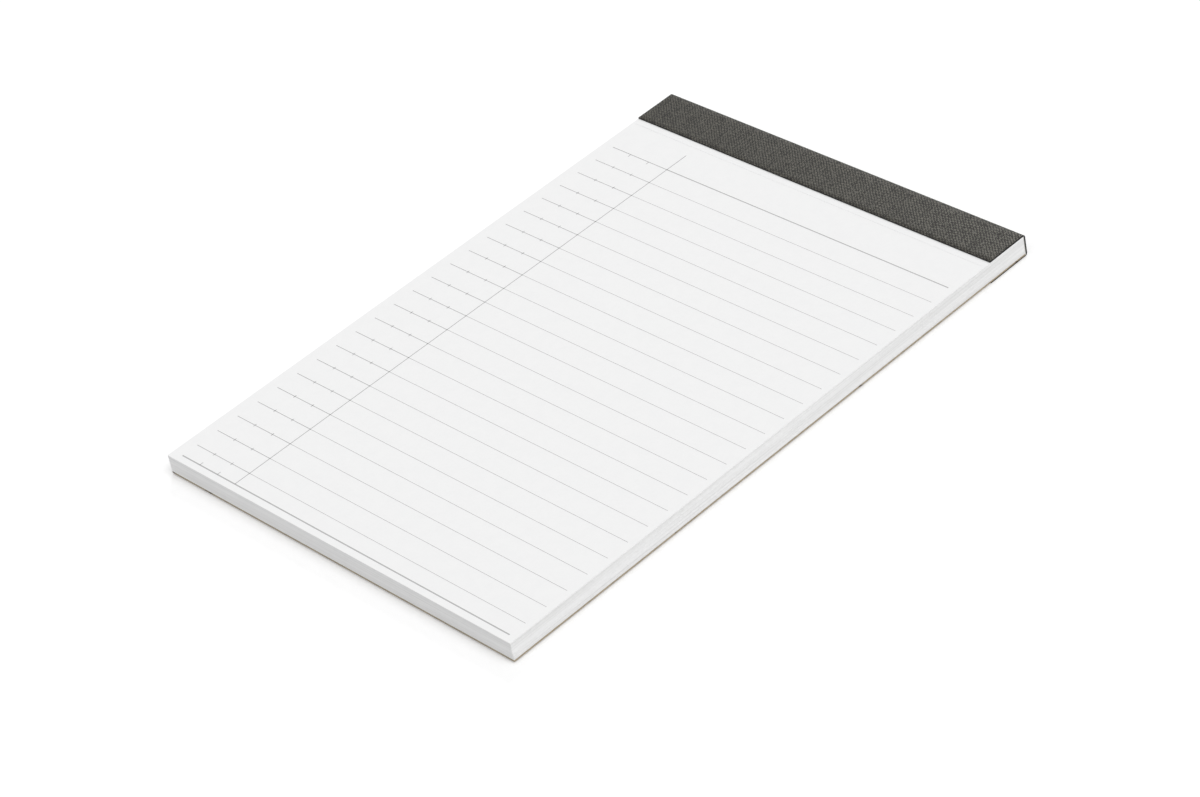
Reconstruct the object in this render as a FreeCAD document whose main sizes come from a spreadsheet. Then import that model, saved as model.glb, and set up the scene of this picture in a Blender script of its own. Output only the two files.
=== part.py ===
"""Top-bound legal pad, lying on its back with the writing side up.

The pad has four pieces. The ruled sheets are one block, cut on three sides so that every sheet edge
shows, and slit right through along the tear line. The backing board has the same outline. A film of
gum holds both along the head edge, and a cloth tape is folded round the head over the gum.

Frame: +X to the right of the writing side, +Y from the foot to the head, +Z up out of the top sheet.
The origin is the middle of the underside of the whole pad. Lengths are in millimetres.
"""

import FreeCAD
import Part
import Sketcher

import math
import os

SIZES = (
    ("sheet_width", 148.0, "width of the sheets, the board and the tape"),
    ("sheet_length", 216.7, "foot edge to head edge of a sheet, stub included"),
    ("sheet_caliper", 0.089, "thickness of one sheet, with its share of air"),
    ("sheet_count", 70, "sheets in the block"),
    ("edge_gap_height", 0.02, "height of the hairline between two sheet edges"),
    ("edge_gap_depth", 0.12, "how far that hairline reaches in from the cut edge"),
    ("tear_line_inset", 17.8, "head edge to the middle of the tear line"),
    ("slit_length", 0.55, "length of one slit of the tear line"),
    ("slit_width", 0.08, "width of one slit of the tear line"),
    ("slit_pitch", 1.0, "from one slit to the next"),
    ("slit_side_margin", 1.0, "least whole paper beside the outermost slits"),
    ("board_thickness", 0.5, "thickness of the backing board"),
    ("gum_thickness", 0.5, "thickness of the gum film, and inner radius of the tape's folds"),
    ("tape_thickness", 0.4, "thickness of the cloth tape"),
    ("tape_front_flap", 15.2, "head edge to the edge of the tape on the top sheet"),
    ("tape_under_flap", 15.9, "head edge to the edge of the tape under the board"),
)

SHEET_NAME = "sizes"
STACK_HEIGHT = "sizes.sheet_count * sizes.sheet_caliper"
BOUND_HEIGHT = f"(sizes.board_thickness + {STACK_HEIGHT})"
FOOT_Y = "-(sizes.sheet_length + sizes.gum_thickness + sizes.tape_thickness) / 2"
HEAD_Y = f"({FOOT_Y} + sizes.sheet_length)"
BOARD_Z = "sizes.tape_thickness"
STACK_Z = "(sizes.tape_thickness + sizes.board_thickness)"
SLIT_COUNT = "floor((sizes.sheet_width - 2 * sizes.slit_side_margin - sizes.slit_length) / sizes.slit_pitch) + 1"

PARTS_FOLDER = "parts"


def make_size_table(doc):
    """The spreadsheet of driving dimensions, one row for each size."""
    table = doc.addObject("Spreadsheet::Sheet", SHEET_NAME)
    for row, (alias, value, meaning) in enumerate(SIZES, start=1):
        table.set(f"A{row}", alias)
        table.set(f"B{row}", str(value))
        table.set(f"C{row}", meaning)
        table.setAlias(f"B{row}", alias)
    doc.recompute()
    return table


def new_body(doc, label):
    body = doc.addObject("PartDesign::Body", label)
    body.Label = label
    return body


def new_sketch(body, name, plane):
    """A sketch on one of the body's own origin planes, given by its role."""
    sketch = body.newObject("Sketcher::SketchObject", name)
    origin_plane = next(f for f in body.Origin.OriginFeatures if f.Role == plane)
    sketch.AttachmentSupport = [(origin_plane, "")]
    sketch.MapMode = "FlatFace"
    return sketch


def origin_axis(body, role):
    return (next(f for f in body.Origin.OriginFeatures if f.Role == role), [""])


def bind(sketch, name, constraint, expression):
    """Adds a named datum constraint and ties it to the size table."""
    index = sketch.addConstraint(constraint)
    sketch.renameConstraint(index, name)
    sketch.setExpression(f"Constraints.{name}", expression)


def segment(sketch, start, end):
    """A straight edge of a sketch, given by rough end points that the constraints then settle."""
    return sketch.addGeometry(Part.LineSegment(FreeCAD.Vector(*start, 0), FreeCAD.Vector(*end, 0)), False)


def rectangle(sketch, name, width, bottom, top):
    """A rectangle that is centred on the sketch's upright axis.

    width, bottom and top are expressions. bottom and top count along the upright axis from the origin.
    """
    half = 10.0
    low = 20.0
    high = 30.0
    base = segment(sketch, (-half, low), (half, low))
    right = segment(sketch, (half, low), (half, high))
    cap = segment(sketch, (half, high), (-half, high))
    left = segment(sketch, (-half, high), (-half, low))
    for first, second in ((base, right), (right, cap), (cap, left), (left, base)):
        sketch.addConstraint(Sketcher.Constraint("Coincident", first, 2, second, 1))
    sketch.addConstraint(Sketcher.Constraint("Horizontal", cap))
    sketch.addConstraint(Sketcher.Constraint("Vertical", right))
    sketch.addConstraint(Sketcher.Constraint("Vertical", left))
    sketch.addConstraint(Sketcher.Constraint("Symmetric", base, 1, base, 2, -2))
    bind(sketch, f"{name}_width", Sketcher.Constraint("DistanceX", base, 1, base, 2, 2 * half), width)
    bind(sketch, f"{name}_top", Sketcher.Constraint("DistanceY", -1, 1, cap, 1, high), top)
    if bottom is None:
        sketch.addConstraint(Sketcher.Constraint("PointOnObject", base, 1, -1))
    else:
        bind(sketch, f"{name}_bottom", Sketcher.Constraint("DistanceY", -1, 1, base, 1, low), bottom)


def pad(body, name, profile, height, both_ways=False):
    feature = body.newObject("PartDesign::Pad", name)
    feature.Profile = profile
    feature.SideType = "Symmetric" if both_ways else "One side"
    feature.setExpression("Length", height)
    return feature


def pattern(body, name, original, axis_role, step, count):
    """Repeats a feature along one of the body's origin axes."""
    feature = body.newObject("PartDesign::LinearPattern", name)
    feature.Originals = [original]
    feature.Direction = origin_axis(body, axis_role)
    feature.Mode = "Spacing"
    feature.setExpression("Offset", step)
    feature.setExpression("Occurrences", count)
    body.Tip = feature
    return feature


def place(body, y, z):
    """Puts a body into the pad's frame."""
    body.setExpression("Placement.Base.y", y)
    body.setExpression("Placement.Base.z", z)


def make_sheets(doc):
    """The block of ruled sheets, modelled from its foot edge and its lowest sheet."""
    body = new_body(doc, "writing_sheets")
    outline = new_sketch(body, "sheet_outline", "XY_Plane")
    rectangle(outline, "sheet", "sizes.sheet_width", None, "sizes.sheet_length")
    pad(body, "sheet_block", outline, STACK_HEIGHT)
    doc.recompute()

    # A hairline runs round both sides and the foot between each sheet and the next. The head is
    # gummed shut, so the hairline's inner edge runs past it.
    gap = new_sketch(body, "edge_gap_outline", "XY_Plane")
    rectangle(gap, "outer", "sizes.sheet_width + 2 * sizes.edge_gap_depth", "-sizes.edge_gap_depth",
              "sizes.sheet_length + sizes.edge_gap_depth")
    rectangle(gap, "inner", "sizes.sheet_width - 2 * sizes.edge_gap_depth", "sizes.edge_gap_depth",
              "sizes.sheet_length")
    gap.setExpression("AttachmentOffset.Base.z", "sizes.sheet_caliper - sizes.edge_gap_height / 2")
    first_gap = body.newObject("PartDesign::Pocket", "edge_gap")
    first_gap.Profile = gap
    first_gap.Reversed = True
    first_gap.setExpression("Length", "sizes.edge_gap_height")
    doc.recompute()
    pattern(body, "edge_gaps", first_gap, "Z_Axis", "sizes.sheet_caliper", "sizes.sheet_count - 1")
    doc.recompute()

    # The tear line: a row of slits through the whole block, spread evenly about the middle.
    slit = new_sketch(body, "slit_outline", "XY_Plane")
    rectangle(slit, "slit", "sizes.slit_length",
              "sizes.sheet_length - sizes.tear_line_inset - sizes.slit_width / 2",
              "sizes.sheet_length - sizes.tear_line_inset + sizes.slit_width / 2")
    slit.setExpression("AttachmentOffset.Base.x", f"-({SLIT_COUNT} - 1) * sizes.slit_pitch / 2")
    first_slit = body.newObject("PartDesign::Pocket", "slit")
    first_slit.Profile = slit
    first_slit.Reversed = True
    first_slit.setExpression("Length", STACK_HEIGHT)
    doc.recompute()
    pattern(body, "tear_line", first_slit, "X_Axis", "sizes.slit_pitch", SLIT_COUNT)
    place(body, FOOT_Y, STACK_Z)
    return body


def make_board(doc):
    """The stiff board under the sheets, guillotined to their outline."""
    body = new_body(doc, "backing_board")
    outline = new_sketch(body, "board_outline", "XY_Plane")
    rectangle(outline, "board", "sizes.sheet_width", None, "sizes.sheet_length")
    pad(body, "board_blank", outline, "sizes.board_thickness")
    place(body, FOOT_Y, BOARD_Z)
    return body


def join_ends(sketch, edges):
    """Closes a loop of edges. Each entry is an edge with the vertices at which it starts and ends."""
    for (first, _, first_end), (second, second_start, _) in zip(edges, edges[1:] + edges[:1]):
        sketch.addConstraint(Sketcher.Constraint("Coincident", first, first_end, second, second_start))


def quarter_arc(sketch, centre, radius, start_degrees):
    """A quarter of a circle, anticlockwise from start_degrees."""
    circle = Part.Circle(FreeCAD.Vector(*centre, 0), FreeCAD.Vector(0, 0, 1), radius)
    start = math.radians(start_degrees)
    return sketch.addGeometry(Part.ArcOfCircle(circle, start, start + math.pi / 2), False)


def make_gum(doc):
    """The gum film on the head edge of the sheets and the board, with its long edges rounded."""
    body = new_body(doc, "head_gum")
    section = new_sketch(body, "gum_section", "YZ_Plane")
    film = 0.5
    height = 6.5
    low_arc = quarter_arc(section, (0, film), film, 270)
    face = segment(section, (film, film), (film, height - film))
    high_arc = quarter_arc(section, (0, height - film), film, 0)
    back = segment(section, (0, height), (0, 0))
    join_ends(section, [(low_arc, 1, 2), (face, 1, 2), (high_arc, 1, 2), (back, 1, 2)])
    section.addConstraint(Sketcher.Constraint("Coincident", back, 2, -1, 1))
    section.addConstraint(Sketcher.Constraint("PointOnObject", back, 1, -2))
    section.addConstraint(Sketcher.Constraint("PointOnObject", low_arc, 3, -2))
    section.addConstraint(Sketcher.Constraint("PointOnObject", high_arc, 3, -2))
    section.addConstraint(Sketcher.Constraint("Vertical", face))
    section.addConstraint(Sketcher.Constraint("Horizontal", low_arc, 3, face, 1))
    section.addConstraint(Sketcher.Constraint("Horizontal", high_arc, 3, face, 2))
    bind(section, "gum_radius", Sketcher.Constraint("Radius", low_arc, film), "sizes.gum_thickness")
    bind(section, "gum_height", Sketcher.Constraint("DistanceY", back, 2, back, 1, height), BOUND_HEIGHT)
    pad(body, "gum_film", section, "sizes.sheet_width", both_ways=True)
    place(body, HEAD_Y, BOARD_Z)
    return body


def make_tape(doc):
    """The cloth tape: one strip folded over the top sheet, round the gum and under the board."""
    body = new_body(doc, "binding_tape")
    section = new_sketch(body, "tape_section", "YZ_Plane")
    inner = 0.5
    outer = 0.9
    low = 0.9
    high = 6.6
    top_inside = high + inner
    top_outside = high + outer
    under_flap = -17.0
    front_flap = -15.0

    underside = segment(section, (under_flap, 0), (0, 0))
    low_outer = quarter_arc(section, (0, low), outer, 270)
    head_outside = segment(section, (outer, low), (outer, high))
    high_outer = quarter_arc(section, (0, high), outer, 0)
    front_outside = segment(section, (0, top_outside), (front_flap, top_outside))
    front_edge = segment(section, (front_flap, top_outside), (front_flap, top_inside))
    front_inside = segment(section, (front_flap, top_inside), (0, top_inside))
    high_inner = quarter_arc(section, (0, high), inner, 0)
    head_inside = segment(section, (inner, high), (inner, low))
    low_inner = quarter_arc(section, (0, low), inner, 270)
    under_inside = segment(section, (0, low - inner), (under_flap, low - inner))
    under_edge = segment(section, (under_flap, low - inner), (under_flap, 0))

    join_ends(section, [
        (underside, 1, 2), (low_outer, 1, 2), (head_outside, 1, 2), (high_outer, 1, 2),
        (front_outside, 1, 2), (front_edge, 1, 2), (front_inside, 1, 2), (high_inner, 2, 1),
        (head_inside, 1, 2), (low_inner, 2, 1), (under_inside, 1, 2), (under_edge, 1, 2),
    ])
    for flat in (front_outside, front_inside, underside, under_inside):
        section.addConstraint(Sketcher.Constraint("Horizontal", flat))
    for upright in (head_outside, head_inside, front_edge, under_edge):
        section.addConstraint(Sketcher.Constraint("Vertical", upright))
    section.addConstraint(Sketcher.Constraint("Coincident", underside, 2, -1, 1))
    for point in ((low_outer, 3), (high_outer, 3), (front_outside, 1), (front_inside, 2), (under_inside, 1)):
        section.addConstraint(Sketcher.Constraint("PointOnObject", *point, -2))
    section.addConstraint(Sketcher.Constraint("Coincident", low_inner, 3, low_outer, 3))
    section.addConstraint(Sketcher.Constraint("Coincident", high_inner, 3, high_outer, 3))
    for centre, side, end in ((low_outer, head_outside, 1), (high_outer, head_outside, 2),
                              (high_inner, head_inside, 1), (low_inner, head_inside, 2)):
        section.addConstraint(Sketcher.Constraint("Horizontal", centre, 3, side, end))

    bind(section, "fold_inside", Sketcher.Constraint("Radius", low_inner, inner), "sizes.gum_thickness")
    bind(section, "fold_outside", Sketcher.Constraint("Radius", low_outer, outer),
         "sizes.gum_thickness + sizes.tape_thickness")
    bind(section, "bound_height", Sketcher.Constraint("DistanceY", under_inside, 1, front_inside, 2, 7.0),
         BOUND_HEIGHT)
    bind(section, "front_flap", Sketcher.Constraint("DistanceX", front_outside, 2, front_outside, 1, 15.0),
         "sizes.tape_front_flap")
    bind(section, "under_flap", Sketcher.Constraint("DistanceX", underside, 1, underside, 2, 17.0),
         "sizes.tape_under_flap")
    pad(body, "tape_strip", section, "sizes.sheet_width", both_ways=True)
    place(body, HEAD_Y, "0 mm")
    return body


def check(doc, bodies):
    """Stops if any feature failed, a sketch is loose or a piece isn't one valid solid."""
    for thing in doc.Objects:
        if {"Invalid", "Error"} & set(thing.State):
            raise RuntimeError(f"{thing.Label} failed: {thing.State}")
        if thing.TypeId == "Sketcher::SketchObject" and thing.solve() != 0:
            raise RuntimeError(f"the constraints of {thing.Label} don't agree")
    for body in bodies:
        shape = body.Shape
        if shape.isNull() or not shape.isValid() or len(shape.Solids) != 1:
            raise RuntimeError(f"{body.Label} isn't one valid solid")


def export(bodies):
    os.makedirs(PARTS_FOLDER, exist_ok=True)
    for body in bodies:
        body.Shape.exportStep(os.path.join(PARTS_FOLDER, f"{body.Label}.step"))


def main():
    doc = FreeCAD.newDocument("legal_pad")
    make_size_table(doc)
    bodies = [make_sheets(doc), make_board(doc), make_gum(doc), make_tape(doc)]
    doc.recompute()
    check(doc, bodies)
    export(bodies)


main()
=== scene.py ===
"""A top-bound legal pad: loose-cut sheets, printed ruling, cloth tape, chipboard back and its studio.

Every length is in metres, in the frame of the solids: +X to the right of the writing side, +Y from the
foot to the bound head, +Z up out of the top page.
"""

import math
import random

import bmesh
import bpy
from bpy.props import FloatProperty, FloatVectorProperty, IntProperty, PointerProperty
from bpy.types import Operator, Panel, PropertyGroup
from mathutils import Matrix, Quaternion, Vector


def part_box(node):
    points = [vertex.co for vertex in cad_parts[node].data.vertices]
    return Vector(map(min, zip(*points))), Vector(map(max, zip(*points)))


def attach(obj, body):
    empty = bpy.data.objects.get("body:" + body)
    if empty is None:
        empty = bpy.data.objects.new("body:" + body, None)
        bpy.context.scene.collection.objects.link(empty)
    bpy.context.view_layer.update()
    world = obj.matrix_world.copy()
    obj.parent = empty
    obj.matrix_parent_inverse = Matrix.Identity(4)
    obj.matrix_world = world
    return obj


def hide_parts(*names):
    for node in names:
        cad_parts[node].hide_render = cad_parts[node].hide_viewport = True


bl_info = {
    "name": "Legal Pad",
    "version": (1, 0, 0),
    "blender": (4, 5, 0),
    "location": "View3D > Sidebar > Legal Pad",
    "description": "Models the sheets, ruling, tape and board of a top-bound legal pad, and its studio",
    "category": "Object",
}

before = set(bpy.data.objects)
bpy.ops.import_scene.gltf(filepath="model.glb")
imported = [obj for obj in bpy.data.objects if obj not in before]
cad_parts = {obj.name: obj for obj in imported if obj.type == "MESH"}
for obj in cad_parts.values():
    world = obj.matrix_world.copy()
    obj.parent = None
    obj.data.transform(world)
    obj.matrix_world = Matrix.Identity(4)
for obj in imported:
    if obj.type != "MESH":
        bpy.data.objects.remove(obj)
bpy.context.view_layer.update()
BODY = "root"
MM = 0.001
AXIS_X = 0
AXIS_Y = 1
WHITE = (1.0, 1.0, 1.0, 1.0)

SHEETS_LOW, SHEETS_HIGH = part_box("writing_sheets")
GUM_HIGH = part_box("head_gum")[1]
TAPE_LOW, TAPE_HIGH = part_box("binding_tape")

HEAD_Y = SHEETS_HIGH.y
FOOT_Y = SHEETS_LOW.y
PAGE_Z = SHEETS_HIGH.z
TAPE_THICKNESS = TAPE_HIGH.y - GUM_HIGH.y
FOLD_RADIUS = TAPE_HIGH.y - HEAD_Y
UPPER_FOLD_Z = TAPE_HIGH.z - FOLD_RADIUS
LOWER_FOLD_Z = TAPE_LOW.z + FOLD_RADIUS
FRONT_FLAP_EDGE = min(vert.co.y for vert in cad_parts["binding_tape"].data.vertices
                      if vert.co.z > PAGE_Z)
UNDER_FLAP_EDGE = TAPE_LOW.y

# Points of a mesh that are nearer than this are one point.
WELD = 0.001 * MM

# Each sheet keeps a share of the last one's drift and adds a random share of the wander. Its jump is
# a random share too, and isn't passed on.
DRIFT_KEPT = 0.7
DRIFT_SHARE = 0.2
JUMP_SHARE = 0.6


def length(name, description, millimetres):
    """A length that the sidebar shows in the scene's units."""
    return FloatProperty(name=name, description=description, default=millimetres * MM, min=0.0,
                         unit="LENGTH", precision=5)


def colour(name, description, rgb):
    """A surface colour, as linear light."""
    return FloatVectorProperty(name=name, description=description, default=rgb, subtype="COLOR",
                               min=0.0, max=1.0, size=3)


def brightness(name, description, value):
    """How strongly a lamp or a surface shines."""
    return FloatProperty(name=name, description=description, default=value, min=0.0)


def angle(name, description, degrees):
    """An angle, which the sidebar shows in degrees."""
    return FloatProperty(name=name, description=description, default=math.radians(degrees),
                         subtype="ANGLE")


def point(name, description, metres):
    """A point in the scene."""
    return FloatVectorProperty(name=name, description=description, default=metres, subtype="XYZ",
                               unit="LENGTH")


class PadPageSettings(PropertyGroup):
    """Sizes and colours of the sheets."""

    sheet_count: IntProperty(name="Sheets", description="Sheets in the block", default=70, min=2)
    air_gap: length("Air gap", "Air between one sheet and the next", 0.007)
    wander: length("Wander", "How much smaller than the page a sheet is, and so how far it can lie off",
                   0.08)
    seed: IntProperty(name="Seed", description="Picks how each sheet lies", default=70)
    tear_line_inset: length("Tear line inset", "Head edge to the middle of the tear line", 17.8)
    slit_length: length("Slit length", "Length of one slit of the tear line", 0.55)
    slit_width: length("Slit width", "Width of one slit of the tear line", 0.08)
    slit_pitch: length("Slit pitch", "From one slit to the next", 1.0)
    slit_margin: length("Slit margin", "Least whole paper beside the outermost slits", 1.0)
    grain: length("Grain", "Height of the paper's fibres", 0.004)
    paper: colour("Paper", "Writing paper", (0.9, 0.9, 0.9))
    paper_shade: colour("Paper shade", "The thicker clouds in the paper", (0.883, 0.884, 0.886))
    # Painted shade in bands along the sheets, as sheets out of line would cast it, with the blade's own
    # streaks.
    cut_streak_painted_shade: colour("Cut shade", "The blade's streaks on the cut edges", (0.77, 0.77, 0.765))
    # Painted shade: the colour of the sheet under the slits, standing in for the shadow inside them.
    slit_painted_shade: colour("Slit shade", "What shows at the bottom of a slit", (0.12, 0.12, 0.12))


class PadPrintSettings(PropertyGroup):
    """Sizes and colours of the printed ruling."""

    line_spacing: length("Line spacing", "From one ruled line to the next", 8.056)
    line_count: IntProperty(name="Lines", description="Plain lines below the top line",
                            default=22, min=1)
    top_line_height: length("Top line", "Foot edge to the heavy line at the top", 185.53)
    base_line_height: length("Base line", "Foot edge to the heavy line at the bottom", 2.49)
    left_margin: length("Left margin", "Left edge of the page to the start of the lines", 4.19)
    right_margin: length("Right margin", "End of the lines to the right edge of the page", 2.35)
    column_width: length("Column width", "Start of the lines to the upright line", 24.15)
    column_rise: length("Column rise", "How far the upright line stands above the top line", 8.94)
    heavy_shortfall: length("Heavy line shortfall", "How much sooner the heavy lines end", 0.35)
    tick_length: length("Tick length", "Length of the small marks across a column line", 1.3)
    fine_width: length("Fine line", "Width of the writing lines", 0.17)
    column_line_width: length("Column line", "Width of the lines and ticks left of the upright", 0.25)
    upright_width: length("Upright line", "Width of the upright, and of the top line left of it", 0.3)
    heavy_width: length("Heavy line", "Width of the heavy top line", 0.4)
    base_width: length("Base line width", "Width of the heavy bottom line", 0.45)
    film: length("Ink film", "How proud the ink stands on the paper", 0.012)
    ink: colour("Ink", "Grey printing ink", (0.43, 0.43, 0.43))
    ink_thin: colour("Thin ink", "The ink where the film breaks up", (0.47, 0.47, 0.47))


class PadTapeSettings(PropertyGroup):
    """Sizes and colours of the cloth tape and the gum under it."""

    warp_pitch: length("Warp pitch", "From one thread to the next along the head", 0.62)
    weft_pitch: length("Weft pitch", "From one thread to the next across the tape", 0.56)
    weave_height: length("Weave height", "How far the threads stand out", 0.012)
    cut_rounding: length("Cut rounding", "Rounding of the tape's cut edges", 0.06)
    cut_band: length("Cut band", "How far the dark of a cut edge reaches onto the cloth", 0.14)
    cloth: colour("Cloth", "Thread lying on top of the weave", (0.105, 0.1, 0.083))
    # Painted shade in the pits between threads, along with the darker threads' own tone.
    cloth_dark_and_pit_shade: colour("Cloth shade", "Thread passing below, and the pits", (0.004, 0.0037, 0.003))
    cut: colour("Cut cloth", "The black core that shows where the tape is cut", (0.004, 0.004, 0.004))
    gum_stain: length("Gum stain", "How far the gum is as dark as the tape beside it", 0.26)
    gum_clear: length("Clear gum", "How far from the tape the gum has its own colour", 0.32)
    gum_grain: length("Gum grain", "Height of the fibres in the gum", 0.02)
    gum: colour("Gum", "Dried padding gum", (0.75, 0.74, 0.68))
    gum_thin: colour("Thin gum", "The gum where the paper shows through", (0.82, 0.81, 0.77))


class PadBoardSettings(PropertyGroup):
    """Surface of the backing board."""

    grain: length("Grain", "Height of the board's fibres", 0.03)
    board: colour("Board", "Grey-brown chipboard", (0.4, 0.335, 0.235))
    board_dark: colour("Board shade", "Darker fibres", (0.29, 0.236, 0.165))
    fleck: colour("Fleck", "Dark bits of bark and ink in the board", (0.1, 0.07, 0.045))


class PadStageSettings(PropertyGroup):
    """The floor, the light and the camera."""

    floor: colour("Floor", "The floor under the pad", (0.94, 0.94, 0.94))
    floor_size: length("Floor size", "Side of the floor", 6000.0)
    floor_drop: length("Floor drop", "Air between the tape's under flap and the floor", 0.05)
    floor_lift: brightness("Floor lift", "White that the camera adds to the floor", 0.14)
    surround: brightness("Surround", "Strength of the even light from all round", 0.6)
    key_place: point("Key place", "Where the lamp above the right side shines from", (0.66, 0.08, 1.0))
    key_strength: brightness("Key", "Strength of the lamp above the right side", 1.14)
    key_spread: angle("Key spread", "How wide the key lamp looks from the pad", 40.0)
    back_place: point("Back place", "Where the lamp behind the head shines from", (-0.48, 0.66, 0.6))
    back_strength: brightness("Back", "Strength of the lamp behind the head", 0.48)
    back_spread: angle("Back spread", "How wide the back lamp looks from the pad", 12.0)
    camera_place: point("Camera", "Where the camera stands", (0.72177, -0.56007, 0.67701))
    camera_aim: point("Aim", "The point at the middle of the picture", (0.018803, -0.018283, 0.0071))
    camera_roll: angle("Roll", "Turn of the camera about its own view", 12.354)
    camera_lens: FloatProperty(name="Lens", description="Focal length in millimetres, on a 36 mm sensor",
                               default=114.475, min=1.0)


def deselect():
    """Leaves nothing selected, so that an operator reaches only what is picked next."""
    bpy.ops.object.select_all(action="DESELECT")


def select_only(*pieces):
    """Selects these pieces and nothing else, with the first of them active."""
    deselect()
    for piece in pieces:
        piece.select_set(True)
    bpy.context.view_layer.objects.active = pieces[0]


def name_piece(piece, name):
    piece.name = name
    piece.data.name = name
    return piece


def settle(piece):
    """Moves the object's place, turn and scale into its mesh."""
    select_only(piece)
    bpy.ops.object.transform_apply(location=True, rotation=True, scale=True)


def add_block(name, low, high):
    """A closed block between two corners."""
    deselect()
    bpy.ops.mesh.primitive_cube_add(size=1.0, location=(low + high) / 2)
    block = name_piece(bpy.context.object, name)
    block.scale = high - low
    settle(block)
    return block


def add_grid(name, low, high, x_cells, y_cells):
    """A flat grid at low.z between two corners."""
    deselect()
    middle = (low + high) / 2
    bpy.ops.mesh.primitive_grid_add(size=1.0, x_subdivisions=x_cells, y_subdivisions=y_cells,
                                    location=(middle.x, middle.y, low.z))
    grid = name_piece(bpy.context.object, name)
    grid.scale = (high.x - low.x, high.y - low.y, 1.0)
    settle(grid)
    return grid


def edit(piece):
    """Opens one piece in edit mode, with nothing else selected."""
    select_only(piece)
    bpy.ops.object.mode_set(mode="EDIT")


def end_edit():
    bpy.ops.object.mode_set(mode="OBJECT")


def pick(kind, test):
    """Selects the vertices, edges or faces that pass a test, in the piece that is open."""
    bpy.ops.mesh.select_mode(type=kind)
    bpy.ops.mesh.select_all(action="DESELECT")
    mesh = bmesh.from_edit_mesh(bpy.context.object.data)
    for element in {"VERT": mesh.verts, "EDGE": mesh.edges, "FACE": mesh.faces}[kind]:
        if test(element):
            element.select_set(True)
    mesh.select_flush_mode()
    bmesh.update_edit_mesh(bpy.context.object.data)


def edge_at(axis, value):
    """A test for edges of which both ends lie at one value along an axis."""
    return lambda edge: all(abs(vert.co[axis] - value) < WELD for vert in edge.verts)


def faces_up(face):
    """A test for the faces that look up."""
    return face.normal.z > 0.9


def extrude(vector):
    bpy.ops.mesh.extrude_region_move(TRANSFORM_OT_translate={"value": vector})


def apply_modifier(piece, kind, **settings):
    """Adds a modifier, sets it and applies it."""
    select_only(piece)
    modifier = piece.modifiers.new(kind.title(), kind)
    for name, value in settings.items():
        setattr(modifier, name, value)
    bpy.ops.object.modifier_apply(modifier=modifier.name)


def repeat(piece, count, step, **settings):
    """Repeats a piece, each time one step further."""
    apply_modifier(piece, "ARRAY", count=count, use_relative_offset=False, use_constant_offset=True,
                   constant_offset_displace=step, **settings)


def thicken(piece, thickness, **settings):
    """Gives a sheet its thickness, on the side that its faces look away from."""
    apply_modifier(piece, "SOLIDIFY", thickness=thickness, offset=-1.0, **settings)


def join(name, pieces):
    select_only(*pieces)
    bpy.ops.object.join()
    return name_piece(bpy.context.object, name)


def dress(piece, material):
    """Makes this the piece's only material."""
    piece.data.materials.clear()
    piece.data.materials.append(material)


def finish_piece(piece, material, slot, *replaced):
    """Gives a piece its material and body, and hides the solids that it stands for."""
    dress(piece, material)
    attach(piece, BODY)
    if replaced:
        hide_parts(*replaced)


def node(tree, kind, settings=None, inputs=None):
    """Adds a node. An input given as a socket is linked, and any other value is set."""
    made = tree.nodes.new(kind)
    for name, value in (settings or {}).items():
        setattr(made, name, value)
    for name, value in (inputs or {}).items():
        if isinstance(value, bpy.types.NodeSocket):
            tree.links.new(value, made.inputs[name])
        else:
            made.inputs[name].default_value = value
    return made


def calculate(tree, operation, first, second=0.0, third=0.0):
    """One step of arithmetic on values or sockets."""
    values = {0: first, 1: second, 2: third}
    return node(tree, "ShaderNodeMath", {"operation": operation}, values).outputs[0]


def between(tree, mask, at_zero, at_one):
    """A value that goes from at_zero to at_one as the mask goes from 0 to 1."""
    return calculate(tree, "MULTIPLY_ADD", mask, at_one - at_zero, at_zero)


def noise(tree, vector, scale, detail=2.0, roughness=0.5):
    made = node(tree, "ShaderNodeTexNoise", None,
                {"Vector": vector, "Scale": scale, "Detail": detail, "Roughness": roughness})
    return made.outputs["Fac"]


def stretch(tree, vector, factors):
    """Scales a vector's axes, each by its own factor."""
    return node(tree, "ShaderNodeMapping", None, {"Vector": vector, "Scale": factors}).outputs["Vector"]


def blend_colours(tree, factor, first, second):
    """Mixes two colours by a mask. The node takes colours at its inputs 6 and 7, and gives output 2."""
    inputs = {0: factor, 6: first, 7: second}
    for number in (6, 7):
        if not isinstance(inputs[number], bpy.types.NodeSocket):
            inputs[number] = (*inputs[number], 1.0)
    return node(tree, "ShaderNodeMix", {"data_type": "RGBA"}, inputs).outputs[2]


def new_group(name, inputs, outputs):
    """An empty node group. inputs and outputs hold a name and a socket type each."""
    group = bpy.data.node_groups.new(name, "ShaderNodeTree")
    for label, kind in inputs:
        group.interface.new_socket(name=label, in_out="INPUT", socket_type=kind)
    for label, kind in outputs:
        group.interface.new_socket(name=label, in_out="OUTPUT", socket_type=kind)
    entry = group.nodes.new("NodeGroupInput")
    result = group.nodes.new("NodeGroupOutput")
    return group, entry, result


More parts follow.
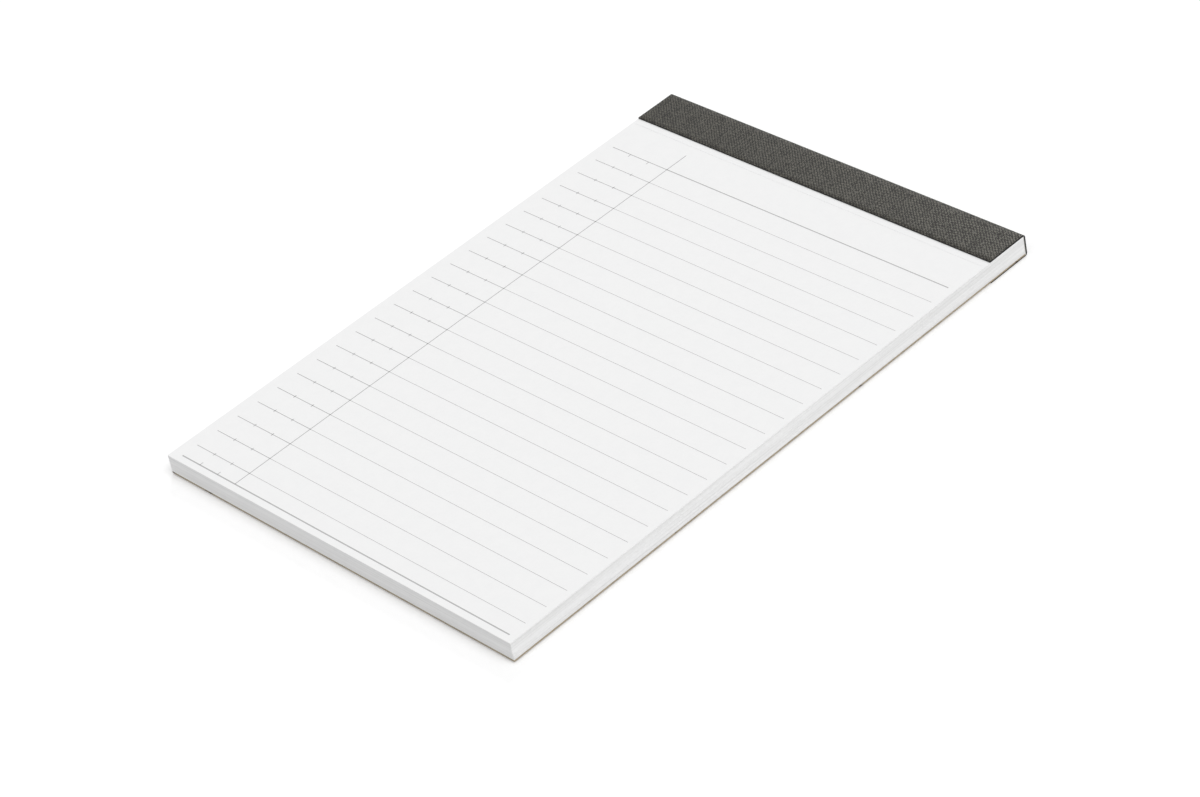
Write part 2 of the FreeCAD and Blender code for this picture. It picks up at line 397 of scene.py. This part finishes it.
def fibre_group():
    """Clouds and short fibres of pressed pulp, for paper, board, ink and gum alike."""
    name = "Pulp fibres"
    if name in bpy.data.node_groups:
        return bpy.data.node_groups[name]
    group, entry, result = new_group(
        name,
        [("Vector", "NodeSocketVector"), ("Cloud Scale", "NodeSocketFloat"),
         ("Fibre Scale", "NodeSocketFloat")],
        [("Clouds", "NodeSocketFloat"), ("Fibres", "NodeSocketFloat")])
    vector = entry.outputs["Vector"]
    clouds = noise(group, vector, entry.outputs["Cloud Scale"], detail=3.0)
    slim = 0.22
    depth = 0.5

    def fibres(factors):
        """Fibres drawn out along the axis that has the small factor."""
        drawn_out = stretch(group, vector, factors)
        return noise(group, drawn_out, entry.outputs["Fibre Scale"], detail=2.0, roughness=0.6)

    both_ways = calculate(group, "MAXIMUM", fibres((1.0, slim, depth)), fibres((slim, 1.0, depth)))
    group.links.new(clouds, result.inputs["Clouds"])
    group.links.new(both_ways, result.inputs["Fibres"])
    return group


def weave_group():
    """A plain weave. Its vector counts threads: X across the warp, Y across the weft. Its Thread tone is
    darkened towards the pits, as painted shade.
    """
    group, entry, result = new_group(
        "Plain weave", [("Vector", "NodeSocketVector")],
        [("Thread", "NodeSocketFloat"), ("Height", "NodeSocketFloat")])
    parts = node(group, "ShaderNodeSeparateXYZ", None, {0: entry.outputs["Vector"]})
    unevenness = 1.9
    change_along_thread = 0.12
    slub_rate = 0.3
    # Each thread's tone is read this far from its neighbour's, and the weft's far from the warp's.
    number_step = 7.31
    weft_start = 311.0
    warp_light = 1.35
    weft_light = 0.8
    pit_painted_shade = 0.4

    def uneven(position, factors):
        """Counts the threads. Their widths differ, because noise moves the count on unevenly."""
        spread = noise(group, stretch(group, entry.outputs["Vector"], factors), 1.1, detail=2.0)
        return calculate(group, "MULTIPLY_ADD", spread, unevenness, position)

    across = uneven(parts.outputs["X"], (1.0, change_along_thread, 1.0))
    along = uneven(parts.outputs["Y"], (change_along_thread, 1.0, 1.0))
    warp_number = calculate(group, "FLOOR", across)
    weft_number = calculate(group, "FLOOR", along)
    crossing = calculate(group, "PINGPONG", calculate(group, "ADD", warp_number, weft_number), 1.0)

    def crown(position):
        """The round of a thread: 1 along its middle and 0 where two threads meet."""
        place = calculate(group, "FRACT", position)
        return calculate(group, "SINE", calculate(group, "MULTIPLY", place, math.pi))

    def slubs(number, position):
        """A thread's own tone, with slubs along it."""
        spot = node(group, "ShaderNodeCombineXYZ", None,
                    {0: calculate(group, "MULTIPLY", number, number_step),
                     1: calculate(group, "MULTIPLY", position, slub_rate)})
        return noise(group, spot.outputs[0], 1.0, detail=3.0, roughness=0.75)

    warp = calculate(group, "MULTIPLY", crown(across), crossing)
    weft = calculate(group, "MULTIPLY", crown(along), calculate(group, "SUBTRACT", 1.0, crossing))
    height = calculate(group, "ADD", warp, weft)
    warp_tone = calculate(group, "MULTIPLY", slubs(warp_number, along),
                          calculate(group, "MULTIPLY", crossing, warp_light))
    weft_tone = calculate(group, "MULTIPLY",
                          slubs(calculate(group, "ADD", weft_number, weft_start), across),
                          between(group, crossing, weft_light, 0.0))
    tone = calculate(group, "ADD", warp_tone, weft_tone)
    # Painted shade: each thread's tone falls from its crown to the pits where threads meet.
    light = between(group, height, pit_painted_shade, 1.0)
    group.links.new(calculate(group, "MULTIPLY", tone, light), result.inputs["Thread"])
    group.links.new(height, result.inputs["Height"])
    return group


def new_material(name, roughness=0.5, specular=0.5):
    """A material with its shader, which the caller feeds."""
    material = bpy.data.materials.new(name)
    material.use_nodes = True
    shader = next(n for n in material.node_tree.nodes if n.type == "BSDF_PRINCIPLED")
    shader.inputs["Roughness"].default_value = roughness
    shader.inputs["Specular IOR Level"].default_value = specular
    return material, material.node_tree, shader


def own_place(tree):
    """The piece's own coordinates, in metres."""
    return node(tree, "ShaderNodeTexCoord").outputs["Object"]


def pulp(tree, cloud_scale, fibre_scale):
    """The fibre group on the piece's own coordinates. Its scales are clouds and fibres to the metre."""
    made = node(tree, "ShaderNodeGroup", {"node_tree": fibre_group()},
                {"Vector": own_place(tree), "Cloud Scale": cloud_scale, "Fibre Scale": fibre_scale})
    return made.outputs["Clouds"], made.outputs["Fibres"]


def bump(tree, height, depth, shader):
    """Raises a height map by a depth."""
    made = node(tree, "ShaderNodeBump", None, {"Strength": 1.0, "Distance": depth, "Height": height})
    tree.links.new(made.outputs["Normal"], shader.inputs["Normal"])


def contrast(tree, value, low, high):
    """Spreads a value so that low becomes 0 and high becomes 1."""
    made = node(tree, "ShaderNodeMapRange", None, {"Value": value, "From Min": low, "From Max": high})
    return made.outputs["Result"]


def below_slits(tree, place, pages):
    """1 in a band below the row of slits, where the painted shade goes, and 0 elsewhere."""
    parts = node(tree, "ShaderNodeSeparateXYZ", None, {0: place})
    half_row = (SHEETS_HIGH.x - SHEETS_LOW.x) / 2 - pages.slit_margin
    from_line = calculate(tree, "SUBTRACT", parts.outputs["Y"], HEAD_Y - pages.tear_line_inset)
    in_line = calculate(tree, "LESS_THAN", calculate(tree, "ABSOLUTE", from_line), pages.slit_width / 2)
    in_row = calculate(tree, "LESS_THAN", calculate(tree, "ABSOLUTE", parts.outputs["X"]), half_row)
    return calculate(tree, "MULTIPLY", in_line, in_row)


def paper_material(name, pages, in_block):
    """Writing paper. In the block it also has darker bands along the sheets: the blade's streaks, with
    painted shade of sheets that stand out of line. Below the slits it has painted shade.
    """
    material, tree, shader = new_material(name, roughness=0.8, specular=0.2)
    clouds, fibres = pulp(tree, cloud_scale=260.0, fibre_scale=1900.0)
    mask = contrast(tree, calculate(tree, "ADD", clouds, fibres), 0.85, 1.35)
    sheet = blend_colours(tree, mask, pages.paper, pages.paper_shade)
    if in_block:
        place = own_place(tree)
        # Darker bands along the sheets: the blade's streaks, and painted shade of sheets that stand out
        # of line.
        streaks_to_the_metre = (9.0, 9.0, 2600.0)
        drawn_out = stretch(tree, place, streaks_to_the_metre)
        streaks = noise(tree, drawn_out, 1.0, detail=3.0, roughness=0.65)
        sheet = blend_colours(tree, contrast(tree, streaks, 0.42, 0.68), sheet, pages.cut_streak_painted_shade)
        # Painted shade: the sheet under the row of slits is darkened, as the slits' own shadow.
        sheet = blend_colours(tree, below_slits(tree, place, pages), sheet, pages.slit_painted_shade)
    tree.links.new(sheet, shader.inputs["Base Color"])
    bump(tree, fibres, pages.grain, shader)
    return material


def ink_material(ruling):
    """Printing ink, a little paler where its film breaks up on the fibres."""
    material, tree, shader = new_material("Grey ink")
    clouds, fibres = pulp(tree, cloud_scale=700.0, fibre_scale=4000.0)
    mask = contrast(tree, fibres, 0.5, 0.8)
    tree.links.new(blend_colours(tree, mask, ruling.ink, ruling.ink_thin), shader.inputs["Base Color"])
    tree.links.new(between(tree, clouds, 0.5, 0.7), shader.inputs["Roughness"])
    return material


def along_tape(y, z):
    """How far a point of the tape's outer face is from the front flap's edge, along the cloth."""
    flap = HEAD_Y - FRONT_FLAP_EDGE
    fold = FOLD_RADIUS * math.pi / 2
    if z > UPPER_FOLD_Z and y <= HEAD_Y:
        return y - FRONT_FLAP_EDGE
    if z > UPPER_FOLD_Z:
        return flap + FOLD_RADIUS * math.atan2(y - HEAD_Y, z - UPPER_FOLD_Z)
    if z >= LOWER_FOLD_Z:
        return flap + fold + UPPER_FOLD_Z - z
    to_under_flap = flap + 2 * fold + UPPER_FOLD_Z - LOWER_FOLD_Z
    if y > HEAD_Y:
        return to_under_flap - FOLD_RADIUS * math.atan2(y - HEAD_Y, LOWER_FOLD_Z - z)
    return to_under_flap + HEAD_Y - y


def tape_material(tape):
    """Bookcloth whose weave follows the strip, with its black core along the cut edges."""
    material, tree, shader = new_material("Charcoal bookcloth", specular=0.2)
    warm_sheen = (1.0, 0.96, 0.87, 1.0)
    shader.inputs["Specular Tint"].default_value = warm_sheen
    strip = node(tree, "ShaderNodeUVMap", {"uv_map": "weave"}).outputs["UV"]
    threads = stretch(tree, strip, (MM / tape.warp_pitch, MM / tape.weft_pitch, 1.0))
    weave = node(tree, "ShaderNodeGroup", {"node_tree": weave_group()}, {"Vector": threads})
    # The thread tone carries painted shade in the pits, and the dark cloth colour takes it.
    mask = contrast(tree, weave.outputs["Thread"], 0.39, 0.57)
    cloth = blend_colours(tree, mask, tape.cloth_dark_and_pit_shade, tape.cloth)

    parts = node(tree, "ShaderNodeSeparateXYZ", None, {0: strip})
    from_centre = calculate(tree, "ABSOLUTE", parts.outputs["X"])
    from_end = calculate(tree, "SUBTRACT", TAPE_HIGH.x / MM, from_centre)
    middle = along_tape(UNDER_FLAP_EDGE, TAPE_LOW.z) / MM / 2
    from_middle = calculate(tree, "ABSOLUTE", calculate(tree, "SUBTRACT", parts.outputs["Y"], middle))
    from_cut = calculate(tree, "MINIMUM", from_end, calculate(tree, "SUBTRACT", middle, from_middle))
    fray = calculate(tree, "MULTIPLY", noise(tree, threads, 0.9, detail=1.0), tape.cut_band / MM)
    cut = contrast(tree, calculate(tree, "SUBTRACT", from_cut, fray), 0.0, tape.cut_band / MM / 2)
    tree.links.new(blend_colours(tree, cut, tape.cut, cloth), shader.inputs["Base Color"])
    bare_thread = calculate(tree, "MULTIPLY", mask, cut)
    tree.links.new(between(tree, bare_thread, 0.47, 0.27), shader.inputs["Roughness"])
    bump(tree, weave.outputs["Height"], tape.weave_height, shader)
    return material


def board_material(board):
    """Chipboard of mixed fibres, with a few dark flecks."""
    material, tree, shader = new_material("Chipboard", roughness=0.85, specular=0.3)
    clouds, fibres = pulp(tree, cloud_scale=420.0, fibre_scale=1500.0)
    flecks = contrast(tree, noise(tree, own_place(tree), 520.0, detail=1.0), 0.7, 0.75)
    shade = contrast(tree, calculate(tree, "ADD", clouds, fibres), 0.9, 1.5)
    stock = blend_colours(tree, shade, board.board, board.board_dark)
    tree.links.new(blend_colours(tree, flecks, stock, board.fleck), shader.inputs["Base Color"])
    bump(tree, fibres, board.grain, shader)
    return material


def gum_material(tape):
    """Dried gum, as dark as the tape in a ragged band beside it."""
    material, tree, shader = new_material("Padding gum", roughness=0.4)
    clouds, fibres = pulp(tree, cloud_scale=900.0, fibre_scale=2500.0)
    mask = contrast(tree, clouds, 0.35, 0.65)
    gum = blend_colours(tree, mask, tape.gum, tape.gum_thin)
    parts = node(tree, "ShaderNodeSeparateXYZ", None, {0: own_place(tree)})
    to_tape = calculate(tree, "SUBTRACT", GUM_HIGH.y, parts.outputs["Y"])
    raggedness = 0.1 * MM
    ragged = calculate(tree, "MULTIPLY_ADD", fibres, -raggedness, to_tape)
    clear = contrast(tree, ragged, tape.gum_stain, tape.gum_clear)
    tree.links.new(blend_colours(tree, clear, tape.cut, gum), shader.inputs["Base Color"])
    bump(tree, fibres, tape.gum_grain, shader)
    return material


def tear_slits(pages, thickness):
    """The top page with its row of slits: one cell is cut, repeated, and drawn out to the edges."""
    width = SHEETS_HIGH.x - SHEETS_LOW.x
    count = int((width - 2 * pages.slit_margin - pages.slit_length) / pages.slit_pitch) + 1
    border = (pages.slit_pitch - pages.slit_length) / 2
    line_y = HEAD_Y - pages.tear_line_inset
    half_run = count * pages.slit_pitch / 2
    half_cell = border + pages.slit_width / 2
    page = add_grid("top_page", Vector((-half_run, line_y - half_cell, PAGE_Z)),
                    Vector((-half_run + pages.slit_pitch, line_y + half_cell, PAGE_Z)), 1, 1)
    edit(page)
    bpy.ops.mesh.select_all(action="SELECT")
    bpy.ops.mesh.inset(thickness=border, use_even_offset=True)
    bpy.ops.mesh.delete(type="FACE")
    end_edit()
    repeat(page, count, (pages.slit_pitch, 0.0, 0.0), use_merge_vertices=True, merge_threshold=WELD)
    edit(page)
    upper_y = line_y + half_cell
    lower_y = line_y - half_cell
    for axis, side, outline in ((AXIS_Y, upper_y, HEAD_Y), (AXIS_Y, lower_y, FOOT_Y),
                                (AXIS_X, half_run, SHEETS_HIGH.x), (AXIS_X, -half_run, SHEETS_LOW.x)):
        pick("EDGE", edge_at(axis, side))
        step = [0.0, 0.0, 0.0]
        step[axis] = outline - side
        extrude(step)
    bpy.ops.mesh.select_all(action="SELECT")
    bpy.ops.mesh.normals_make_consistent(inside=False)
    end_edit()
    thicken(page, thickness)
    return page


def plain_sheet(thickness, wander):
    """The lowest sheet. It is a little small, so that each copy can wander inside the page's outline."""
    slack = Vector((wander / 2, wander / 2, 0.0))
    sheet = add_grid("page_stack", Vector((SHEETS_LOW.x, FOOT_Y, SHEETS_LOW.z + thickness)) + slack,
                     Vector((SHEETS_HIGH.x, HEAD_Y, SHEETS_LOW.z + thickness)) - slack, 1, 1)
    thicken(sheet, thickness)
    return sheet


class LEGALPAD_OT_sheets(Operator):
    """Stack the sheets, each a little off the others, with the slit page on top"""

    bl_idname = "legal_pad.sheets"
    bl_label = "Sheets"

    def execute(self, context):
        pages = context.scene.legal_pad_pages
        draw = random.Random(pages.seed)
        pitch = (PAGE_Z - SHEETS_LOW.z) / pages.sheet_count
        thickness = pitch - pages.air_gap
        top = tear_slits(pages, thickness)
        lowest = plain_sheet(thickness, pages.wander)
        stack = [lowest]
        drift = Vector((0.0, 0.0))
        for number in range(1, pages.sheet_count - 1):
            drift = Vector([DRIFT_KEPT * old + DRIFT_SHARE * draw.uniform(-0.5, 0.5) * pages.wander
                            for old in drift])
            jump = Vector([JUMP_SHARE * draw.uniform(-0.5, 0.5) * pages.wander for _ in drift])
            select_only(lowest)
            bpy.ops.object.duplicate()
            bpy.ops.transform.translate(value=(*(drift + jump), number * pitch))
            stack.append(context.object)
        block = join("page_stack", stack)
        settle(block)
        top_paper = paper_material("Writing paper", pages, in_block=False)
        cut_paper = paper_material("Cut paper", pages, in_block=True)
        finish_piece(top, top_paper, "paper", "writing_sheets")
        finish_piece(block, cut_paper, "paper", "writing_sheets")
        return {"FINISHED"}


def add_rule(name, x_start, x_end, y, width, film):
    """One printed line: a film of ink that sits in the paper and narrows to its top."""
    low = Vector((x_start, y - width / 2, PAGE_Z - film))
    high = Vector((x_end, y + width / 2, PAGE_Z + film))
    rule = add_block(name, low, high)
    edit(rule)
    pick("FACE", faces_up)
    bpy.ops.transform.resize(value=(1.0 - film / (x_end - x_start), 1.0 - film / width, 1.0))
    end_edit()
    return rule


class LEGALPAD_OT_ruling(Operator):
    """Print the writing lines, the column on the left with its ticks, and the heavy lines"""

    bl_idname = "legal_pad.ruling"
    bl_label = "Ruling"

    def execute(self, context):
        ruling = context.scene.legal_pad_ruling
        left = SHEETS_LOW.x + ruling.left_margin
        right = SHEETS_HIGH.x - ruling.right_margin
        column = left + ruling.column_width
        top_y = FOOT_Y + ruling.top_line_height
        base_y = FOOT_Y + ruling.base_line_height
        first_y = top_y - ruling.line_spacing
        film = ruling.film
        thin = ruling.column_line_width
        upright = ruling.upright_width
        thirds = (1 / 3, 2 / 3)
        ticks = [left + ruling.column_width * share for share in thirds]

        def tick(x, low_y, high_y):
            """A small mark across a column line."""
            middle_y = (low_y + high_y) / 2
            return add_rule("tick", x - thin / 2, x + thin / 2, middle_y, high_y - low_y, film)

        row = [add_rule("column_line", left, column, first_y, thin, film),
               add_rule("writing_line", column, right, first_y, ruling.fine_width, film)]
        half_tick = ruling.tick_length / 2
        row += [tick(x, first_y - half_tick, first_y + half_tick) for x in ticks]
        rows = join("rows", row)
        repeat(rows, ruling.line_count, (0.0, -ruling.line_spacing, 0.0))

        heavy_right = right - ruling.heavy_shortfall
        frame_lines = [
            add_rule("top_column_line", left, column, top_y, upright, film),
            add_rule("top_line", column, heavy_right, top_y, ruling.heavy_width, film),
            add_rule("base_line", left, heavy_right, base_y, ruling.base_width, film),
            add_rule("upright", column - upright / 2, column + upright / 2,
                     (base_y + top_y + ruling.column_rise) / 2,
                     top_y + ruling.column_rise - base_y, film),
        ]
        frame_lines += [tick(x, top_y - ruling.tick_length, top_y) for x in ticks]
        frame_lines += [tick(x, base_y, base_y + ruling.tick_length) for x in ticks]
        print_work = join("page_print", [rows] + frame_lines)
        finish_piece(print_work, ink_material(ruling), "paper")
        return {"FINISHED"}


def map_weave(piece):
    """Lays a UV map in millimetres along the cloth, so that the weave goes round the folds."""
    layer = piece.data.uv_layers.new(name="weave")
    for loop in piece.data.loops:
        x, y, z = piece.data.vertices[loop.vertex_index].co
        layer.data[loop.index].uv = (x / MM, along_tape(y, z) / MM)


def fold_on(height, steps):
    """Carries the open edge a quarter turn on, round a line along the head at this height."""
    bpy.ops.mesh.spin(steps=steps, angle=math.pi / 2, center=(0.0, HEAD_Y, height), axis=(1.0, 0.0, 0.0))


class LEGALPAD_OT_tape(Operator):
    """Fold the cloth tape round the head, from the top page to under the board"""

    bl_idname = "legal_pad.tape"
    bl_label = "Cloth tape"

    def execute(self, context):
        tape = context.scene.legal_pad_tape
        cells_across = 74
        flap_steps = 8
        fold_steps = 6
        head_steps = 4
        cut_edge_angle = math.radians(60.0)
        smooth_angle = math.radians(40.0)
        strip = add_grid("cloth_tape", Vector((TAPE_LOW.x, FRONT_FLAP_EDGE, TAPE_HIGH.z)),
                         Vector((TAPE_HIGH.x, HEAD_Y, TAPE_HIGH.z)), cells_across, flap_steps)
        edit(strip)
        pick("EDGE", edge_at(AXIS_Y, HEAD_Y))
        fold_on(UPPER_FOLD_Z, fold_steps)
        for _ in range(head_steps):
            extrude((0.0, 0.0, (LOWER_FOLD_Z - UPPER_FOLD_Z) / head_steps))
        fold_on(LOWER_FOLD_Z, fold_steps)
        for _ in range(flap_steps):
            extrude((0.0, (UNDER_FLAP_EDGE - HEAD_Y) / flap_steps, 0.0))
        bpy.ops.mesh.select_all(action="SELECT")
        bpy.ops.mesh.remove_doubles(threshold=WELD)
        bpy.ops.mesh.normals_make_consistent(inside=False)
        end_edit()
        thicken(strip, TAPE_THICKNESS, use_even_offset=True)
        edit(strip)
        bpy.ops.mesh.select_mode(type="EDGE")
        bpy.ops.mesh.select_all(action="DESELECT")
        bpy.ops.mesh.edges_select_sharp(sharpness=cut_edge_angle)
        bpy.ops.mesh.bevel(offset=tape.cut_rounding, segments=2)
        end_edit()
        map_weave(strip)
        bpy.ops.object.shade_smooth_by_angle(angle=smooth_angle)
        finish_piece(strip, tape_material(tape), "tape", "binding_tape")
        return {"FINISHED"}


class LEGALPAD_OT_backing(Operator):
    """Finish the board and the gum, which keep their solids"""

    bl_idname = "legal_pad.backing"
    bl_label = "Board and gum"

    def execute(self, context):
        finishes = {"backing_board": board_material(context.scene.legal_pad_board),
                    "head_gum": gum_material(context.scene.legal_pad_tape)}
        for name, material in finishes.items():
            dress(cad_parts[name], material)
        return {"FINISHED"}


def see_white(tree):
    """1 for the rays that show the surroundings, seen straight, mirrored or through glass."""
    path = node(tree, "ShaderNodeLightPath")
    seen = calculate(tree, "MAXIMUM", path.outputs["Is Camera Ray"], path.outputs["Is Glossy Ray"])
    return calculate(tree, "MAXIMUM", seen, path.outputs["Is Transmission Ray"])


def add_floor(stage):
    """A pale floor that keeps the pad's shadow."""
    deselect()
    bpy.ops.mesh.primitive_plane_add(size=stage.floor_size,
                                     location=(0.0, 0.0, TAPE_LOW.z - stage.floor_drop))
    floor = name_piece(bpy.context.object, "floor")
    material, tree, shader = new_material("Floor", roughness=0.9, specular=0.0)
    shader.inputs["Base Color"].default_value = (*stage.floor, 1.0)
    shader.inputs["Emission Color"].default_value = WHITE
    lift = calculate(tree, "MULTIPLY", see_white(tree), stage.floor_lift)
    tree.links.new(lift, shader.inputs["Emission Strength"])
    floor.data.materials.append(material)


def add_lamp(name, place, strength, spread):
    """A soft far lamp that faces the middle of the pad and lights it evenly from end to end."""
    deselect()
    bpy.ops.object.light_add(type="SUN", location=place)
    lamp = bpy.context.object
    lamp.name = name
    lamp.data.energy = strength
    lamp.data.angle = spread
    lamp.rotation_mode = "QUATERNION"
    lamp.rotation_quaternion = (-Vector(place)).to_track_quat("-Z", "Y")


def light_surroundings(stage):
    """Even light from all round, with white behind everything that is seen."""
    scene = bpy.context.scene
    if scene.world is None:
        scene.world = bpy.data.worlds.new("Studio")
    scene.world.use_nodes = True
    tree = scene.world.node_tree
    background = next(n for n in tree.nodes if n.type == "BACKGROUND")
    background.inputs["Color"].default_value = WHITE
    tree.links.new(between(tree, see_white(tree), stage.surround, 1.0), background.inputs["Strength"])


def add_camera(stage):
    """The camera of the picture: its place, its aim, and its roll about the view."""
    deselect()
    bpy.ops.object.camera_add(location=stage.camera_place)
    camera = bpy.context.object
    view = Vector(stage.camera_aim) - Vector(stage.camera_place)
    camera.rotation_mode = "QUATERNION"
    camera.rotation_quaternion = (Quaternion(view.normalized(), stage.camera_roll)
                                  @ view.to_track_quat("-Z", "Y"))
    camera.data.lens = stage.camera_lens
    camera.data.clip_start = 0.01
    bpy.context.scene.camera = camera


class LEGALPAD_OT_stage(Operator):
    """Set the pad on a pale floor in soft light, with the camera of the picture"""

    bl_idname = "legal_pad.stage"
    bl_label = "Stage"

    def execute(self, context):
        stage = context.scene.legal_pad_stage
        add_floor(stage)
        light_surroundings(stage)
        add_lamp("key_lamp", stage.key_place, stage.key_strength, stage.key_spread)
        add_lamp("back_lamp", stage.back_place, stage.back_strength, stage.back_spread)
        add_camera(stage)
        context.scene.view_settings.view_transform = "Standard"
        return {"FINISHED"}


STEPS = (
    LEGALPAD_OT_sheets,
    LEGALPAD_OT_ruling,
    LEGALPAD_OT_tape,
    LEGALPAD_OT_backing,
    LEGALPAD_OT_stage,
)
SETTINGS = {
    "legal_pad_pages": PadPageSettings,
    "legal_pad_ruling": PadPrintSettings,
    "legal_pad_tape": PadTapeSettings,
    "legal_pad_board": PadBoardSettings,
    "legal_pad_stage": PadStageSettings,
}


class LEGALPAD_PT_sidebar(Panel):
    """The steps that build the pad, and the sizes and colours that each one reads"""

    bl_idname = "LEGALPAD_PT_sidebar"
    bl_label = "Legal Pad"
    bl_space_type = "VIEW_3D"
    bl_region_type = "UI"
    bl_category = "Legal Pad"

    def draw(self, context):
        for step in STEPS:
            self.layout.operator(step.bl_idname)
        for holder in SETTINGS:
            box = self.layout.box()
            settings = getattr(context.scene, holder)
            for name in settings.__annotations__:
                box.prop(settings, name)


CLASSES = (*SETTINGS.values(), *STEPS, LEGALPAD_PT_sidebar)


def register():
    for cls in CLASSES:
        bpy.utils.register_class(cls)
    for holder, group in SETTINGS.items():
        setattr(bpy.types.Scene, holder, PointerProperty(type=group))


def unregister():
    for holder in SETTINGS:
        delattr(bpy.types.Scene, holder)
    for cls in reversed(CLASSES):
        bpy.utils.unregister_class(cls)


def main():
    register()
    bpy.ops.legal_pad.sheets()
    bpy.ops.legal_pad.ruling()
    bpy.ops.legal_pad.tape()
    bpy.ops.legal_pad.backing()
    bpy.ops.legal_pad.stage()


if __name__ == "__main__":
    main()
